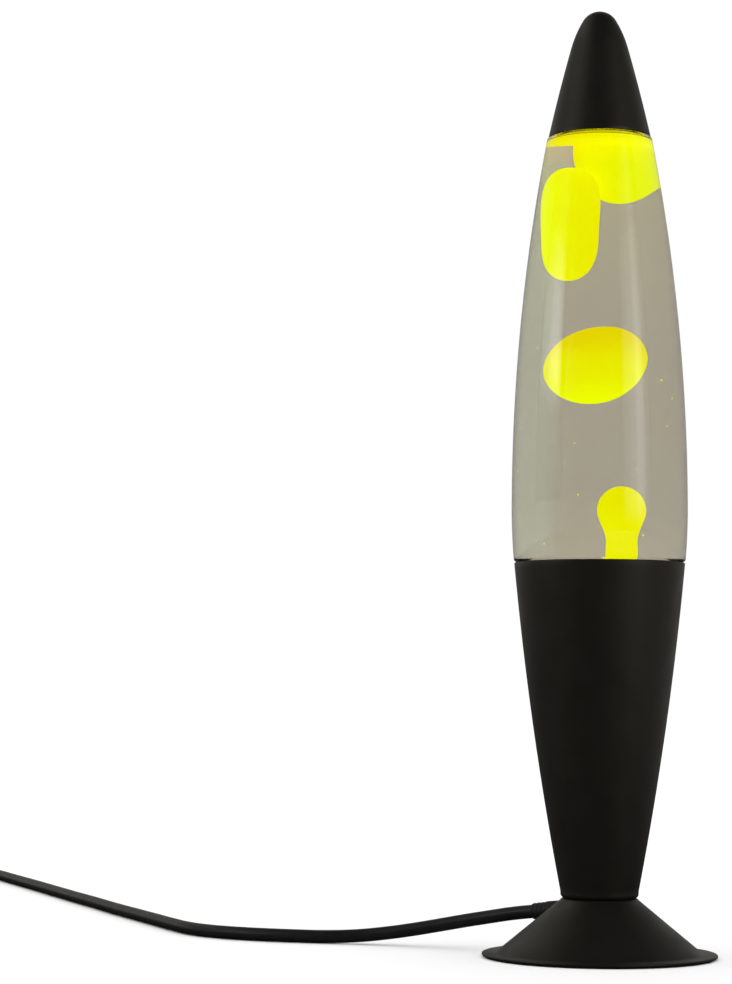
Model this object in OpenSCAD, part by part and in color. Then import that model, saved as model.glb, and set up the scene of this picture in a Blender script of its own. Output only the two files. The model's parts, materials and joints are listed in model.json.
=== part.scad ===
// Lava lamp: a rocket-shaped globe of liquid and wax between a tapered metal base and a nose cap.
// The lamp's axis is the Z axis and the table is the plane z = 0. Its front faces -Y.
// The mains lead leaves the foot at the back left, lies along the table, and is stored in a coil.

/* [Foot] */
// Radius of the thin brim that stands on the table
brim_r = 51.6; // [51:0.1:54]
// Radius of the cone where it meets the brim
cone_r = 43.9; // [43.6:0.1:44.4]
// Height of the foot's flat top, which carries the body
foot_top = 25.8; // [25.6:0.1:26]
// Thickness of the pressed sheet of the foot and the body
sheet = 1.2; // [1:0.1:1.3]

/* [Body] */
// Largest radius of the body's rounded bottom
body_bottom_r = 17.15; // [16.8:0.05:17.6]
// Radius of the body at its rim
body_top_r = 37.65; // [37.5:0.05:37.8]
// Height of the body's rim
body_top = 173; // [172:0.5:173]
// How far the body's side bulges out from a straight cone
body_bulge = 1.75; // [1.5:0.05:2]

/* [Globe] */
// Largest radius of the glass vessel
glass_r = 38.9; // [38.6:0.1:39.2]
// Radius of the curve of the vessel's side above its widest place
glass_side_r = 890; // [860:5:920]
// Thickness of the vessel's wall
glass_wall = 2.2; // [1.8:0.1:2.4]

/* [Nose cap] */
// Radius of the cap's rim
cap_rim_r = 22.8; // [22.7:0.1:23]
// Height of the cap's rim
cap_rim = 363.2; // [363:0.1:364]
// Thickness of the cap's wall
cap_wall = 1; // [0.8:0.1:1.2]

/* [Bulb] */
// Radius of the reflector bulb
bulb_r = 19.5; // [19:0.5:20]
// Height of the bulb's lowest point, the tip of its contact
bulb_bottom = 49.7; // [49.6:0.1:50]

/* [Mains lead] */
// Diameter of the round flex
flex_d = 6; // [5.4:0.1:6]
// Radius of the stored coil at the middle of its turns
coil_r = 33; // [32:0.5:34]

/* [Hidden] */
$fn = 96;

// ---- colours ----
black_paint = [0.10, 0.10, 0.09];
black_plastic = [0.08, 0.08, 0.08];
steel = [0.75, 0.75, 0.76];
brass = [0.80, 0.66, 0.35];
wax = [0.92, 0.94, 0.05];
clear = [0.85, 0.83, 0.75, 0.35];

// ---- foot ----
cone_slope = 1.215;
brim_low = 0.7;
brim_top = brim_low + sheet;
cone_low = brim_top + 1.2;
cone_sheet = sheet * sqrt(1 + cone_slope * cone_slope);
tab_z = 4.5;
tab_angles = [90, 210, 330];
screw_ring_r = 36;
screw_head_r = 2.8;
cover_low = 2.9;

// ---- body and the stack on the threaded nipple ----
nipple_r = 5;
body_corner = 2;
nut_top = foot_top - sheet - 0.8;
floor_z = foot_top + sheet;
holder_low = floor_z + 0.8;
holder_seat = holder_low + 12;
holder_floor = holder_seat + 4.2;
holder_deck = holder_floor + 3.5;
holder_top = 72;
socket_low = holder_deck + 2.5;
socket_r = 8.3;
terminal_x = 6.2;
thread_pitch = 2.82;

// ---- globe ----
vessel_low = 132;
step_z = 170.5;
belly_z = 175;
glass_wide_z = 197;
shoulder_z = 362.15;
shoulder_edge = 0.4;
roof_z = 360;
roof_edge = 1.2;
neck_r = 12.4;
mouth_r = 9;
finish_low = 375;
mouth_z = 381;
fill_z = 366;

// ---- strain relief, whose axis leaves the foot radially and dips a little ----
relief_turn = 150;
relief_dip = 6;
relief_mid = 24;
relief_z = 19.3;
relief_in = 11;
relief_out = 9.5;
relief_r = 4.1;

// ---- mains lead: round numbers along the middle of the flex ----
lead_z = 3.1;
lead_route = [[-40, 22.5, 16.6], [-48, 26.5, 15], [-60, 31.5, 12.6], [-72, 35.5, 10.1],
    [-84, 39, 7.7], [-97, 42.5, 5.5], [-111, 45.5, 3.8], [-126, 47, lead_z], [-140, 49, lead_z],
    [-155, 53, lead_z], [-169, 59, lead_z], [-181, 67, lead_z], [-192, 79, lead_z],
    [-203, 98, lead_z], [-216, 124, lead_z], [-231, 154, lead_z], [-248, 188, lead_z],
    [-265, 224, lead_z], [-284, 263, lead_z], [-304, 305, lead_z], [-325, 349, lead_z],
    [-346, 392, lead_z], [-362, 425, lead_z], [-376, 450, lead_z], [-396, 468, lead_z],
    [-420, 471, lead_z], [-441, 459, lead_z], [-451, 440, 4.6]];
switch_x = -452;
switch_y = 387;
switch_len = 66;
switch_half = 7.5;
switch_r = 12;
switch_screw_y = 22;
rocker_z = 12.4;
coil_y = 305;
coil_x = switch_x + coil_r;
plug_y = 228;
plug_half = 6.85;
plug_len = 20;
plug_relief = 24;
pin_len = 19;
pin_gap = 19;
tie_turn = 53;
tie_width = 14;

// ==== general functions ====

function polar(r, a) = [r * cos(a), r * sin(a)];
function unit(v) = v / norm(v);
function back(v) = [for (i = [len(v) - 1:-1:0]) v[i]];
function inward(v, by) = [for (p = v) [max(p.x - by, 0), p.y]];

// Points of an arc about c from angle a to angle b
function arc(c, r, a, b, n) = [for (i = [0:n]) c + polar(r, a + (b - a) * i / n)];

// Points from p up to q along an arc that bulges outwards by b
function bulged(p, q, b, n) =
    let (d = q - p)
    let (r = (d * d / 4 + b * b) / (2 * b))
    let (c = (p + q) / 2 + unit([d.y, -d.x]) * (b - r))
    arc(c, r, atan2(p.y - c.y, p.x - c.x), atan2(q.y - c.y, q.x - c.x), n);

// One point between b and c on the smooth curve through a, b, c and d
function between(a, b, c, d, t) =
    0.5 * (2 * b + (c - a) * t + (2 * a - 5 * b + 4 * c - d) * t * t
    + (3 * b - a - 3 * c + d) * t * t * t);

// A smooth curve through the points p, with k steps from each point to the next
function smooth(p, k) =
    let (last = len(p) - 1)
    concat([for (i = [0:last - 1]) for (j = [0:k - 1])
        between(p[max(i - 1, 0)], p[i], p[i + 1], p[min(i + 2, last)], j / k)], [p[last]]);

// The corners of one ring of a tube at the point p, square to the direction t
function ring(p, t, across, r, sides) =
    let (u = unit(cross(t, across)))
    let (v = cross(u, unit(t)))
    [for (j = [0:sides - 1]) p + r * (cos(360 * j / sides) * u + sin(360 * j / sides) * v)];

// A tube of diameter d along a path; its direction is never along the vector "across"
module tube(path, d, sides, across) {
    last = len(path) - 1;
    rings = [for (i = [0:last])
        for (c = ring(path[i], path[min(i + 1, last)] - path[max(i - 1, 0)], across, d / 2, sides)) c];
    walls = [for (i = [0:last - 1]) for (j = [0:sides - 1])
        let (a = i * sides + j)
        let (b = i * sides + (j + 1) % sides)
        for (f = [[a, b, b + sides], [a, b + sides, a + sides]]) f];
    low = [[for (j = [sides - 1:-1:0]) j]];
    high = [[for (j = [0:sides - 1]) last * sides + j]];
    polyhedron(rings, concat(low, walls, high), convexity = 8);
}

// A solid of revolution with the outline p
module spun(p) {
    rotate_extrude(convexity = 6) polygon(p);
}

module pipe(outer, inner, low, high) {
    difference() {
        translate([0, 0, low]) cylinder(r = outer, h = high - low);
        translate([0, 0, low - 1]) cylinder(r = inner, h = high - low + 2);
    }
}

// Puts its children on the strain relief's axis, with +Z pointing out of the foot
module at_relief() {
    rotate([0, 0, relief_turn])
        translate([relief_mid, 0, relief_z])
            rotate([0, 90 + relief_dip, 0]) children();
}

// ==== foot ====

// Outer radius of the foot's cone at height z
function foot_r(z) = cone_r - cone_slope * (z - cone_low);

module foot() {
    shoulder = foot_top - 0.75;
    edge_r = brim_r - sheet / 2;
    outside = concat([[nipple_r + 0.1, foot_top - sheet], [nipple_r + 0.1, foot_top],
        [foot_r(shoulder) - 1.3, foot_top], [foot_r(shoulder) - 0.35, foot_top - 0.3],
        [foot_r(shoulder), shoulder]],
        [[cone_r, cone_low], [cone_r + 0.75, brim_top + 0.35], [cone_r + 1.7, brim_top]],
        arc([edge_r, brim_low + sheet / 2], sheet / 2, 90, -90, 8));
    inside_top = foot_top - sheet;
    inside = [[cone_r - 0.2, brim_low], [cone_r - cone_sheet + 0.1, cone_low],
        [foot_r(inside_top) - cone_sheet, inside_top]];
    color(black_paint) difference() {
        union() {
            spun(concat(outside, inside));
            for (a = tab_angles) rotate([0, 0, a])
                translate([33, -4.5, tab_z]) cube([6.9, 9, sheet]);
        }
        for (a = tab_angles) rotate([0, 0, a])
            translate([screw_ring_r, 0, 0]) cylinder(r = 1.25, h = 10, $fn = 24);
        at_relief() translate([0, 0, -relief_in]) cylinder(r = relief_r, h = 40);
    }
}

module foot_pad() {
    color([0.16, 0.16, 0.16]) pipe(50, cone_r + 0.6, 0, brim_low);
}

module bottom_cover() {
    rim_r = 39.6;
    color(black_plastic) difference() {
        union() {
            translate([0, 0, cover_low]) cylinder(r = rim_r, h = tab_z - cover_low);
            pipe(rim_r, rim_r - 1.6, cover_low - 0.7, cover_low + 0.1);
        }
        for (a = tab_angles) rotate([0, 0, a]) translate([screw_ring_r, 0, 0]) {
            cylinder(r = 1.6, h = 10, $fn = 24);
            cylinder(r = screw_head_r + 0.3, h = cover_low, $fn = 32);
        }
        for (a = [0:30:330]) rotate([0, 0, a])
            translate([14, -1.5, 0]) cube([14, 3, 10]);
    }
}

module cover_screws() {
    color(steel) for (a = tab_angles) rotate([0, 0, a]) translate([screw_ring_r, 0, 0])
        difference() {
            union() {
                spun([[0, 1.3], [1.9, 1.3], [2.6, 1.8], [screw_head_r, 2.4], [screw_head_r, cover_low],
                    [0, cover_low]]);
                translate([0, 0, cover_low]) cylinder(r = 1.2, h = 5, $fn = 24);
            }
            translate([-2, -0.35, 0]) cube([4, 0.7, 2]);
            translate([-0.35, -2, 0]) cube([0.7, 4, 2]);
        }
}

// ==== body ====

// The body's outside, from the bottom of its rounded corner to its rim
body_side = concat(
    arc([body_bottom_r - body_corner, foot_top + body_corner], body_corner, -90, 0, 8),
    bulged([body_bottom_r, foot_top + body_corner + 1], [body_top_r, body_top - sheet / 2],
        body_bulge, 36));

module base_shell() {
    centre = [body_bottom_r - body_corner, foot_top + body_corner];
    inner_corner = arc(centre, body_corner - sheet, 0, -90, 6);
    upper = [for (p = body_side) if (p.y > centre.y + 0.5) p];
    rim = arc([body_top_r - sheet / 2, body_top - sheet / 2], sheet / 2, 15, 165, 6);
    color(black_paint) spun(concat([[nipple_r + 0.1, foot_top]], body_side, rim,
        back(inward(upper, sheet)), inner_corner, [[nipple_r + 0.1, floor_z]]));
}

module nipple() {
    color(brass) pipe(nipple_r, 3.6, 15, 38);
}

module nipple_nut() {
    color(brass) difference() {
        translate([0, 0, nut_top - 4.2]) cylinder(r = 9.5, h = 4.2, $fn = 6);
        translate([0, 0, nut_top - 6]) cylinder(r = nipple_r, h = 8);
    }
}

module nipple_washers() {
    color(steel) {
        pipe(9, nipple_r, nut_top, nut_top + 0.8);
        pipe(10, nipple_r, floor_z, floor_z + 0.8);
    }
}

// ==== lampholder ====

module lampholder_cap() {
    color(black_plastic) spun([[nipple_r, holder_low], [12.6, holder_low], [13.6, holder_low + 1],
        [13.6, holder_seat], [11.6, holder_seat], [11.6, holder_low + 2.4], [nipple_r, holder_low + 2.4]]);
}

module lampholder_body() {
    color(black_plastic) difference() {
        union() {
            translate([0, 0, holder_seat]) cylinder(r = 14, h = 16);
            translate([0, 0, holder_seat + 15]) cylinder(r = 12.4, h = holder_top - holder_seat - 15);
            for (z = [58:3:67]) translate([0, 0, z]) cylinder(r = 13, h = 1.4);
        }
        translate([0, 0, holder_seat - 1]) cylinder(r = 11.6, h = holder_floor - holder_seat + 1);
        translate([0, 0, holder_deck]) cylinder(r = socket_r, h = 30);
        for (x = [-terminal_x, terminal_x])
            translate([x, 0, holder_floor - 1]) cylinder(r = 1.5, h = 6, $fn = 24);
    }
}

module lampholder_shell() {
    turns = 6;
    top = holder_top - 1.2;
    inner = socket_r - 0.6;
    grooves = [for (i = [0:turns * 2])
        [i % 2 == 0 ? inner : inner - 0.45, socket_low + 1.5 + i * thread_pitch / 2]];
    color(brass) {
        spun(concat([[socket_r, socket_low], [socket_r, top], [inner, top]], back(grooves),
            [[inner, socket_low]]));
        translate([5.6, -1.5, holder_deck]) cube([2.2, 3, 0.5]);
        translate([7.6, -1.5, holder_deck]) cube([0.6, 3, socket_low - holder_deck + 0.2]);
    }
}

module lampholder_contact() {
    low = holder_deck;
    high = bulb_bottom - 0.8;
    color(brass) rotate([90, 0, 0]) translate([0, 0, -2.5]) linear_extrude(5)
        polygon([[-7.8, low], [-4.6, low], [-1.2, high], [3, high], [3, high + 0.5], [-1.4, high + 0.5],
            [-4.9, low + 0.6], [-7.8, low + 0.6]]);
}

module terminal_screws() {
    color(steel) for (x = [-terminal_x, terminal_x]) translate([x, 0, 0]) {
        translate([0, 0, holder_floor - 1.9]) cylinder(r = 2.6, h = 1.9, $fn = 32);
        translate([0, 0, holder_floor]) cylinder(r = 1.5, h = holder_deck - holder_floor, $fn = 24);
    }
}

// ==== lead inside the foot ====

// A point on the strain relief's axis, s millimetres outside the cone
function on_relief(s) =
    let (r = relief_mid + s * cos(relief_dip))
    [r * cos(relief_turn), r * sin(relief_turn), relief_z - s * sin(relief_dip)];

module strain_relief() {
    grip = concat([[flex_d / 2, -relief_in], [relief_r, -relief_in], [relief_r, 2.2]],
        [for (s = [2.2:2.4:7]) each [[relief_r - 0.15 - s * 0.03, s], [relief_r - 0.3 - s * 0.03, s + 0.5],
            [relief_r - 0.3 - s * 0.03, s + 1.3], [relief_r - 0.2 - s * 0.03, s + 1.7]]],
        [[relief_r - 0.6, relief_out], [flex_d / 2, relief_out]]);
    color(black_plastic) at_relief() spun(grip);
}

// One insulated core, from the end of the sheath, under the nipple and up to its terminal
module core(side) {
    start = on_relief(-relief_in) + side * 1.3 * [0.5, 0.866, 0];
    route = [start, start + [1.1, -0.6, -0.5], start + [1.2, -0.7, -4], [-6.6, 4.2 + side * 1.2, 11.4],
        [-1.6, 1 + side * 1.3, 9.8], [side * 1.5, side * 0.6, 13], [side * 1.6, 0, 18],
        [side * 1.6, 0, 26], [side * 1.6, 0, 34], [side * 1.7, 0, 38.4], [side * 3.7, 0, 40.6],
        [side * terminal_x, 0, holder_floor - 1.9]];
    tube(smooth(route, 4), 1.8, 8, [0.35, 0.94, 0]);
}

module live_wire() {
    color([0.35, 0.18, 0.08]) core(1);
}

module neutral_wire() {
    color([0.15, 0.3, 0.7]) core(-1);
}

// ==== bulb ====

// The bulb's glass from its neck to the start of the dome
bulb_wide_z = 100.5;
bulb_flank = concat([[6.5, 70.2], [6.55, 74.1], [6.9, 75.5], [8.4, 78.6]],
    bulged([9.2, 79.6], [bulb_r, bulb_wide_z], 2.4, 14));
dome_z = 95.2;
dome_r = norm([bulb_r, bulb_wide_z - dome_z]);
dome_a = atan2(bulb_wide_z - dome_z, bulb_r);

module bulb_envelope() {
    color([1, 0.98, 0.9, 0.5]) spun(concat(bulb_flank, arc([0, dome_z], dome_r, dome_a + 3, 90, 12),
        arc([0, dome_z], dome_r - 0.7, 90, dome_a + 4, 12), back(inward(bulb_flank, 0.8))));
}

module bulb_screw_cap() {
    low = bulb_bottom + 4.5;
    thread = [for (i = [0:10]) [i % 2 == 0 ? 6.35 : 6.9, low + 0.6 + i * thread_pitch / 2]];
    collar = [[6.95, low + 15.6], [7, 74], [6.6, 74], [6.6, low + 15.6]];
    color(steel) spun(concat([[5.4, low]], thread, collar, back([for (p = thread) p - [0.35, 0]]),
        [[5.05, low]]));
}

module bulb_insulator() {
    low = bulb_bottom + 1.8;
    color([0.1, 0.1, 0.12]) spun([[0, low], [2.6, low], [5.4, bulb_bottom + 4.5], [0, bulb_bottom + 4.5]]);
}

module bulb_contact() {
    color(steel) spun([[0, bulb_bottom], [1.4, bulb_bottom + 0.2], [2.3, bulb_bottom + 0.8],
        [2.6, bulb_bottom + 1.8], [0, bulb_bottom + 1.8]]);
}

module bulb_filament() {
    color(steel) {
        spun([[0, 70], [4.4, 70], [2.4, 78], [1.6, 86], [0, 87]]);
        for (s = [-1, 1]) translate([s, 0, 84.5]) rotate([0, s * 17, 0]) cylinder(r = 0.3, h = 13, $fn = 16);
        translate([0, 0, 96.9]) rotate_extrude(angle = 180) translate([4.8, 0]) circle(r = 0.45, $fn = 16);
    }
}

// ==== globe ====

// Outline of the vessel's side from its widest place up to height z
function glass_side(z) = arc([glass_r - glass_side_r, glass_wide_z], glass_side_r, 0,
    asin((z - glass_wide_z) / glass_side_r), 30);
shoulder_r = glass_side(shoulder_z)[30].x;
roof_r = glass_side(roof_z)[30].x - glass_wall;

module glass_outline() {
    low_side = [[0, vessel_low + 1.6], [22, vessel_low + 1.2], [25, vessel_low + 0.3], [27.2, vessel_low]];
    heel = arc([28.2, vessel_low + 4], 4, -75, -6, 8);
    step = [[35.35, step_z], [35.4, step_z + 1.9], [37.6, belly_z - 1.25], [37.9, belly_z - 0.8]];
    belly = bulged([37.98, belly_z], [glass_r, glass_wide_z], 0.22, 8);
    top = concat(arc([shoulder_r - shoulder_edge, shoulder_z], shoulder_edge, 12, 84, 6),
        [[19.5, 363.1], [17, 364.1], [15, 365.6]], arc([neck_r + 2, 368.2], 2, -110, -180, 5),
        [[neck_r, finish_low - 0.6], [13.4, finish_low + 0.4], [13.4, mouth_z - 1.2], [12.6, mouth_z],
        [0, mouth_z]]);
    polygon(concat(low_side, heel, step, belly, glass_side(shoulder_z), top));
}

// The space inside the glass, up to a chosen height
module inner_outline(top) {
    side = inward(glass_side(roof_z), glass_wall);
    low = [[0, vessel_low + 4.4], [24, vessel_low + 4.2]];
    heel = arc([26, vessel_low + 8.2], 4, -80, -6, 6);
    belly = bulged([33.2, step_z], [glass_r - glass_wall, glass_wide_z], 0.75, 10);
    roof = concat(arc([roof_r - roof_edge, roof_z], roof_edge, 12, 80, 5),
        [[18.6, 361.5], [16, 362.5], [13.2, 364.2], [10, 366.3], [mouth_r, 368.5], [mouth_r, mouth_z + 1],
        [0, mouth_z + 1]]);
    intersection() {
        polygon(concat(low, heel, belly, side, roof));
        square([60, top]);
    }
}

module inner_space(top) {
    rotate_extrude(convexity = 6) inner_outline(top);
}

module glass_vessel() {
    color(clear) rotate_extrude(convexity = 6) difference() {
        glass_outline();
        inner_outline(500);
    }
}

// Outline of the crown cork's fluted skirt
function crown(r) = [for (a = [0:5:355]) polar(r + 0.35 * cos(a * 18), a)];

module crown_cap() {
    top = mouth_z + 0.6;
    color(steel) {
        translate([0, 0, top - 6]) linear_extrude(4.6) difference() {
            polygon(crown(15.5));
            polygon(crown(14.9));
        }
        spun([[14.4, top - 1.5], [15.6, top - 1.5], [14.6, top - 0.1], [13.2, top + 0.5], [0, top + 0.5],
            [0, top], [13, top]]);
    }
}

module crown_liner() {
    color([0.9, 0.9, 0.88]) translate([0, 0, mouth_z]) cylinder(r = 12.8, h = 0.6);
}

module heating_coil() {
    color(steel) translate([0, 0, vessel_low + 7]) rotate_extrude() translate([21, 0])
        circle(r = 1.3, $fn = 24);
}

// ==== wax ====
column_x = 7.4;
column_y = -3;
column_head_z = 195.5;
column_head_r = 8.3;
column_head_half = 10.5;
ceiling_z = 359.5;
middle_at = [-1.15, 0, 259.4];
middle_r = 15.6;
middle_half = 18.2;
middle_tilt = 45;
upper_at = [-11, -7, 321.4];
upper_r = 11;
upper_half = 25.3;
lobe_at = [7.8, 6, 357];
lobe_r = 15.5;
lobe_drop = 26.4;
lobe_tilt = 4;

// A smooth egg on the Z axis. Its end towards +Z is fuller by "fuller", and a larger "blunt" makes
// both ends blunter; at 2 it is an ellipsoid.
module egg(r, half, fuller, blunt) {
    spun(concat([[0, -half]], [for (a = [6:6:174]) let (t = -cos(a))
        [r * (1 + fuller * t) * sqrt(1 - pow(abs(t), blunt)), half * t]], [[0, half]]));
}

// The two free blobs, larger by "room" all round
module middle_shape(room) {
    translate(middle_at) rotate([0, middle_tilt, 0]) egg(middle_r + room, middle_half + room, -0.05, 2);
}

module upper_shape(room) {
    translate(upper_at) egg(upper_r + room, upper_half + room, 0.11, 4);
}

// The pool at the bottom and the column that rises out of it
module pool_shape() {
    translate([0, 0, vessel_low]) cylinder(r = 40, h = 20);
    translate([column_x, column_y, 0]) spun(concat([[0, 150], [20, 150], [14, 155], [9, 161], [6.6, 167],
        [5.5, 173], [5.5, 177], [5.25, 182.5], [5.8, 185.8], [7.2, 190.2]],
        [for (a = [-24:12:84]) [column_head_r * cos(a), column_head_z + column_head_half * sin(a)]],
        [[0, column_head_z + column_head_half]]));
}

// The layer under the mouth and the lobe that hangs from it
module ceiling_shape() {
    translate([0, 0, ceiling_z]) cylinder(r = 30, h = 10);
    translate(lobe_at) rotate([0, lobe_tilt, 0])
        spun(concat([for (a = [-90:6:0]) [lobe_r * cos(a), lobe_drop * sin(a)]], [[lobe_r, 10], [0, 10]]));
}

module wax_pool() {
    color(wax) intersection() {
        inner_space(fill_z);
        pool_shape();
    }
}

module wax_ceiling() {
    color(wax) intersection() {
        inner_space(fill_z);
        ceiling_shape();
    }
}

module wax_middle_blob() {
    color(wax) middle_shape(0);
}

module wax_upper_blob() {
    color(wax) upper_shape(0);
}

module liquid() {
    room = 0.3;
    color([0.78, 0.76, 0.66, 0.4]) difference() {
        inner_space(fill_z);
        pool_shape();
        ceiling_shape();
        middle_shape(room);
        upper_shape(room);
    }
}

// ==== nose cap ====

// A step along an arc of radius r that leans from angle a to angle b off the vertical
function lean(p, r, a, b, n) =
    [for (i = [0:n]) let (t = a + (b - a) * i / n) p + r * [cos(t) - cos(a), sin(t) - sin(a)]];
flank = lean([cap_rim_r, cap_rim], 800, 12.5, 15.5, 12);
brow = lean(flank[12], 50, 15.5, 31, 12);
tip_r = brow[12].x / cos(31);
tip_z = brow[12].y - tip_r * sin(31);

module nose_cap() {
    outside = concat(flank, brow);
    tip = [0, tip_z];
    color(black_paint) spun(concat([[cap_rim_r - 0.25, cap_rim - 0.3]], outside, arc(tip, tip_r, 36, 90, 14),
        arc(tip, tip_r - cap_wall, 90, 36, 10), back(inward(outside, cap_wall)),
        [[cap_rim_r - cap_wall + 0.25, cap_rim - 0.3]]));
}

module cap_grip() {
    color([0.25, 0.25, 0.25]) spun([[16.2, 374.6], [18.7, 374.6], [17.55, 379.4], [16.2, 379.4]]);
}

// ==== mains lead ====

switch_end = [switch_x, switch_y + switch_len / 2, switch_half];
switch_start = [switch_x, switch_y - switch_len / 2, switch_half];
plug_end = [switch_x, plug_y + plug_len + plug_relief, plug_half];

module flex(route, steps) {
    color([0.07, 0.07, 0.07]) tube(smooth(route, steps), flex_d, 10, [0, 0, 1]);
}

module flex_run() {
    flex(concat([on_relief(-relief_in), on_relief(-2), on_relief(relief_out)], lead_route, [switch_end]), 2);
}

module flex_lead() {
    flex([switch_start, switch_start - [0, 12, 2], [coil_x - coil_r - 2.6, coil_y + 20, lead_z + 0.6],
        [coil_x - coil_r - 3, coil_y + 6, lead_z]], 3);
}

// Outline round the coil's two turns on the table and the third turn on top of them
function coil_section(d, low) = [[coil_r - d, low], [coil_r + d, low], [coil_r + d, d],
    [coil_r + d / 2, 1.87 * d], [coil_r - d / 2, 1.87 * d], [coil_r - d, d]];

module flex_coil() {
    color([0.07, 0.07, 0.07]) translate([coil_x, coil_y, 0]) spun(coil_section(flex_d, 0.1));
}

module flex_tail() {
    flex([[switch_x, coil_y - 6, lead_z + 5.3], [switch_x, coil_y - 14, lead_z + 6.1],
        [switch_x, coil_y - 21, lead_z + 5.3], plug_end], 3);
}

module coil_tie() {
    color([0.15, 0.15, 0.15]) translate([coil_x, coil_y, 0]) rotate([0, 0, tie_turn]) difference() {
        rotate_extrude(angle = tie_width) polygon(coil_section(flex_d + 0.8, 0));
        rotate([0, 0, -tie_width]) rotate_extrude(angle = 3 * tie_width) polygon(coil_section(flex_d, 0.1));
    }
}

// ==== in-line switch ====

// Rounded outline of the switch seen from above, smaller by "less" all round
module switch_outline(less) {
    hull() for (s = [-1, 1]) translate([0, s * (switch_len / 2 - switch_r)])
        circle(r = switch_r - less, $fn = 48);
}

module at_switch() {
    translate([switch_x, switch_y, 0]) children();
}

// Grooves and holes that both halves of the switch share
module switch_bores() {
    translate([0, 0, switch_half]) rotate([90, 0, 0]) cylinder(r = flex_d / 2, h = 80, center = true);
    for (s = [-1, 1]) translate([0, s * switch_screw_y, -1]) cylinder(r = 1.1, h = 20, $fn = 24);
}

module switch_lower() {
    color(black_plastic) at_switch() difference() {
        union() {
            linear_extrude(switch_half) switch_outline(0.8);
            translate([0, 0, 1]) linear_extrude(switch_half - 1) switch_outline(0);
        }
        translate([0, 0, 2]) linear_extrude(20) square([14, 34], center = true);
        switch_bores();
        for (s = [-1, 1]) translate([0, s * switch_screw_y, -1]) cylinder(r = 2.4, h = 3, $fn = 24);
    }
}

module switch_upper() {
    color(black_plastic) at_switch() difference() {
        union() {
            translate([0, 0, switch_half]) linear_extrude(6.4) switch_outline(0);
            translate([0, 0, switch_half]) linear_extrude(7.6) switch_outline(1.2);
        }
        translate([0, 0, switch_half - 1]) linear_extrude(5.6) square([14, 34], center = true);
        linear_extrude(30) square([8.4, 14.8], center = true);
        translate([0, 0, rocker_z]) rotate([0, 90, 0]) cylinder(r = 1.25, h = 12, center = true, $fn = 32);
        difference() {
            switch_bores();
            translate([0, 0, switch_half + 4.6]) linear_extrude(10) square(60, center = true);
        }
    }
}

module switch_screws() {
    color(steel) at_switch() for (s = [-1, 1]) translate([0, s * switch_screw_y, 0]) {
        translate([0, 0, 0.4]) cylinder(r = 2.3, h = 1.6, $fn = 24);
        translate([0, 0, 2]) cylinder(r = 1.1, h = 9, $fn = 24);
    }
}

module switch_rocker() {
    color(black_plastic) at_switch() translate([0, 0, rocker_z]) rotate([8, 0, 0]) {
        rotate([90, 0, 90]) translate([0, 0, -3.9]) linear_extrude(7.8)
            polygon([[-6.2, 3.1], [-6.6, 2.6], [-6.6, -0.6], [-3, -3.4], [3, -3.4], [6.6, -0.6], [6.6, 2.6],
                [6.2, 3.1], [0, 2.1]]);
        rotate([0, 90, 0]) cylinder(r = 1.2, h = 11.4, center = true, $fn = 32);
    }
}

// ==== plug ====

module plug_body() {
    color(black_plastic) difference() {
        union() {
            translate([switch_x, plug_y + plug_len, plug_half]) rotate([90, 0, 0])
                linear_extrude(plug_len) hull() for (s = [-1, 1]) translate([s * 10.8, 0])
                    circle(r = plug_half, $fn = 40);
            translate([switch_x, plug_y + plug_len, plug_half]) rotate([-90, 0, 0])
                cylinder(r1 = plug_half, r2 = 4, h = plug_relief);
            for (s = [-1, 1]) translate([switch_x + s * pin_gap / 2, plug_y, plug_half]) rotate([90, 0, 0])
                cylinder(r = 1.9, h = 10);
        }
        translate(plug_end + [0, 1, 0]) rotate([90, 0, 0]) cylinder(r = flex_d / 2, h = 1);
    }
}

module plug_pins() {
    color(steel) for (s = [-1, 1]) translate([switch_x + s * pin_gap / 2, plug_y - 10, plug_half])
        rotate([90, 0, 0])
            spun([[0, 0], [2, 0], [2, pin_len - 12], [1.4, pin_len - 10.5], [0, pin_len - 10]]);
}

foot();
foot_pad();
bottom_cover();
cover_screws();
base_shell();
nipple();
nipple_nut();
nipple_washers();
lampholder_cap();
lampholder_body();
lampholder_shell();
lampholder_contact();
terminal_screws();
strain_relief();
live_wire();
neutral_wire();
bulb_envelope();
bulb_screw_cap();
bulb_insulator();
bulb_contact();
bulb_filament();
glass_vessel();
crown_cap();
crown_liner();
liquid();
heating_coil();
wax_pool();
wax_ceiling();
wax_middle_blob();
wax_upper_blob();
nose_cap();
cap_grip();
flex_run();
flex_lead();
flex_coil();
flex_tail();
coil_tie();
switch_lower();
switch_upper();
switch_screws();
switch_rocker();
plug_body();
plug_pins();
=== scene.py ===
import json
import math

import bmesh
import bpy
from mathutils import Matrix, Vector, noise

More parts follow.
